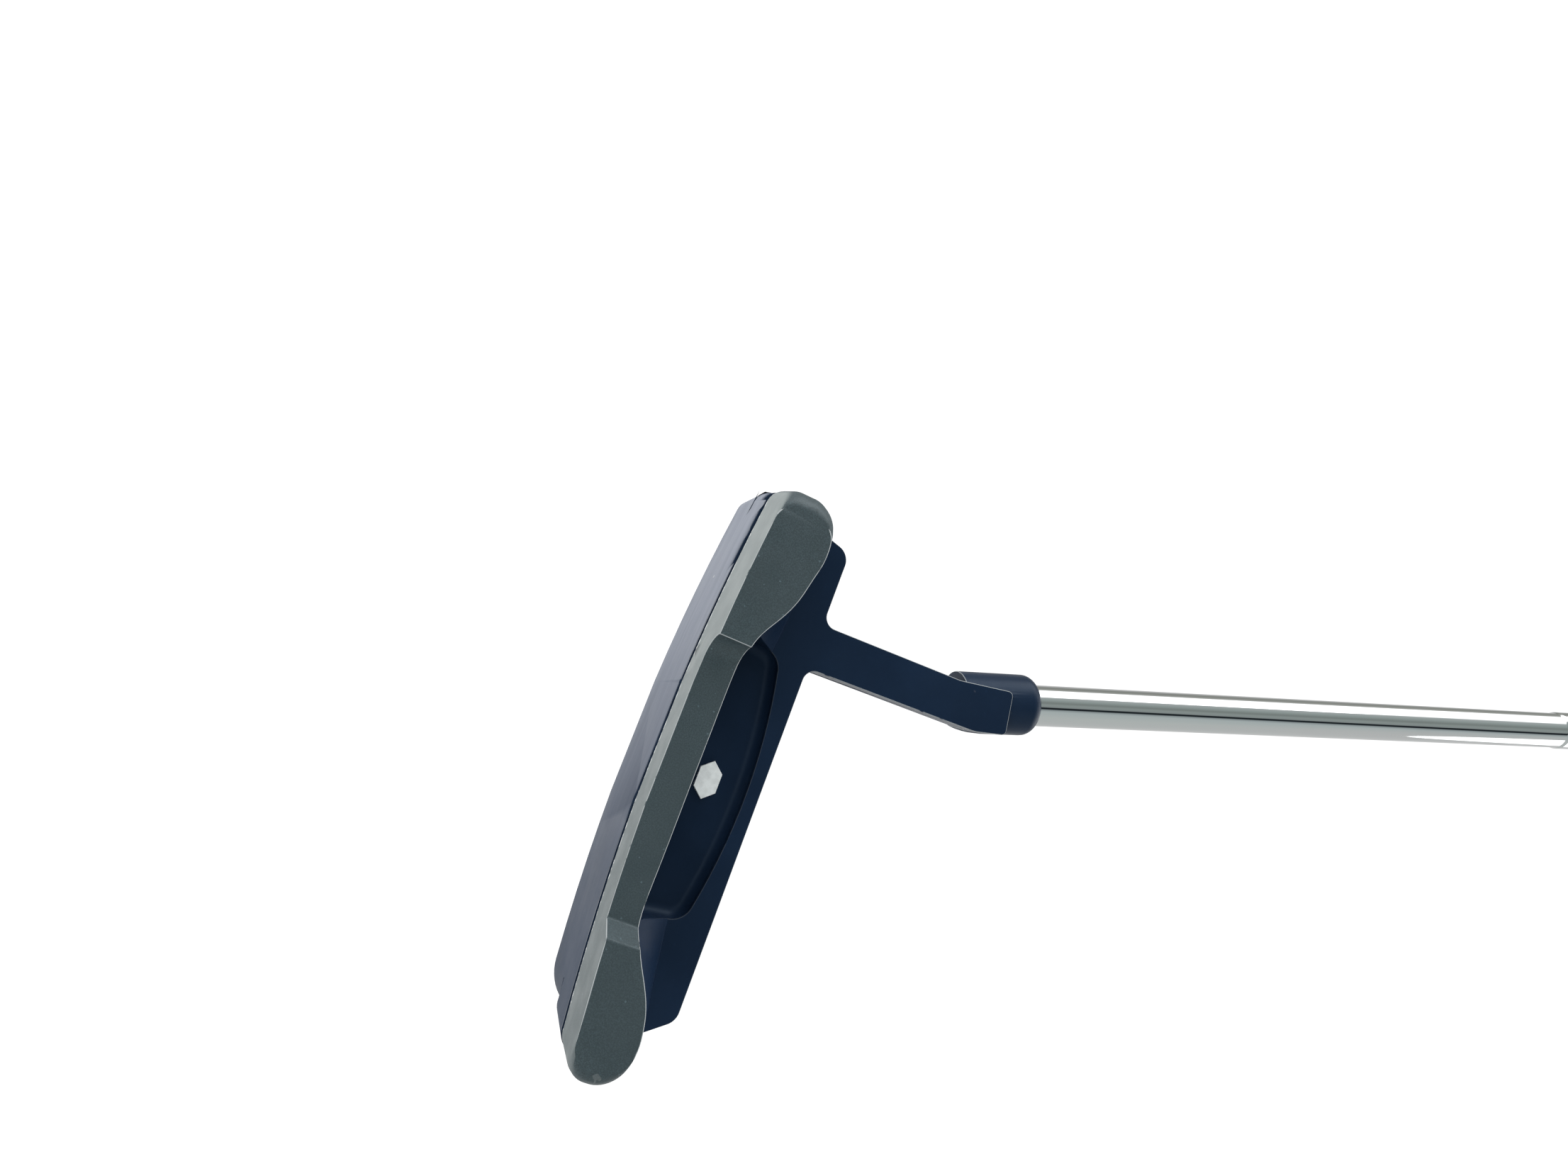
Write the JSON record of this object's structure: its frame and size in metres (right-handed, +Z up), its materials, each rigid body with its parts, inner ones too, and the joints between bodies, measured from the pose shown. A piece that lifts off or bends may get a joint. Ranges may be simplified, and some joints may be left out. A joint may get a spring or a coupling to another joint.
{
  "type": "mallet putter",
  "caption": "Right-handed mid-mallet putter: a black head body with a grey rear frame, flow neck, stepped tubular shaft and moulded rubber grip.",
  "frame": {"origin": "centre of the flat rest patch under the sole", "axes": "+X from heel to toe, +Y the way the face points, +Z up from the ground"},
  "size_m": [0.3639, 0.0442, 0.82],
  "materials": {
    "black_body": "satin",
    "grey_frame": "satin",
    "bond": "matte",
    "fastener": "satin",
    "insert": "matte",
    "tape": "matte",
    "mark": "satin",
    "line_fill": "matte",
    "shaft_chrome": "polished",
    "epoxy": "gloss",
    "foam": "matte",
    "grip_rubber": "matte"
  },
  "bodies": {
    "root": {"front_body": "black_body", "rear_frame": "grey_frame", "seam_bond": "bond", "frame_screws": "fastener", "dowel_pins": "fastener", "face_insert": "insert", "insert_tape": "tape", "rear_mark": "mark", "sight_line": "line_fill", "shaft": "shaft_chrome", "shaft_epoxy": "epoxy", "tip_plug": "foam", "grip_tape": "tape", "grip": "grip_rubber", "grip_cap": "grip_rubber"}
  },
  "joints": []
}
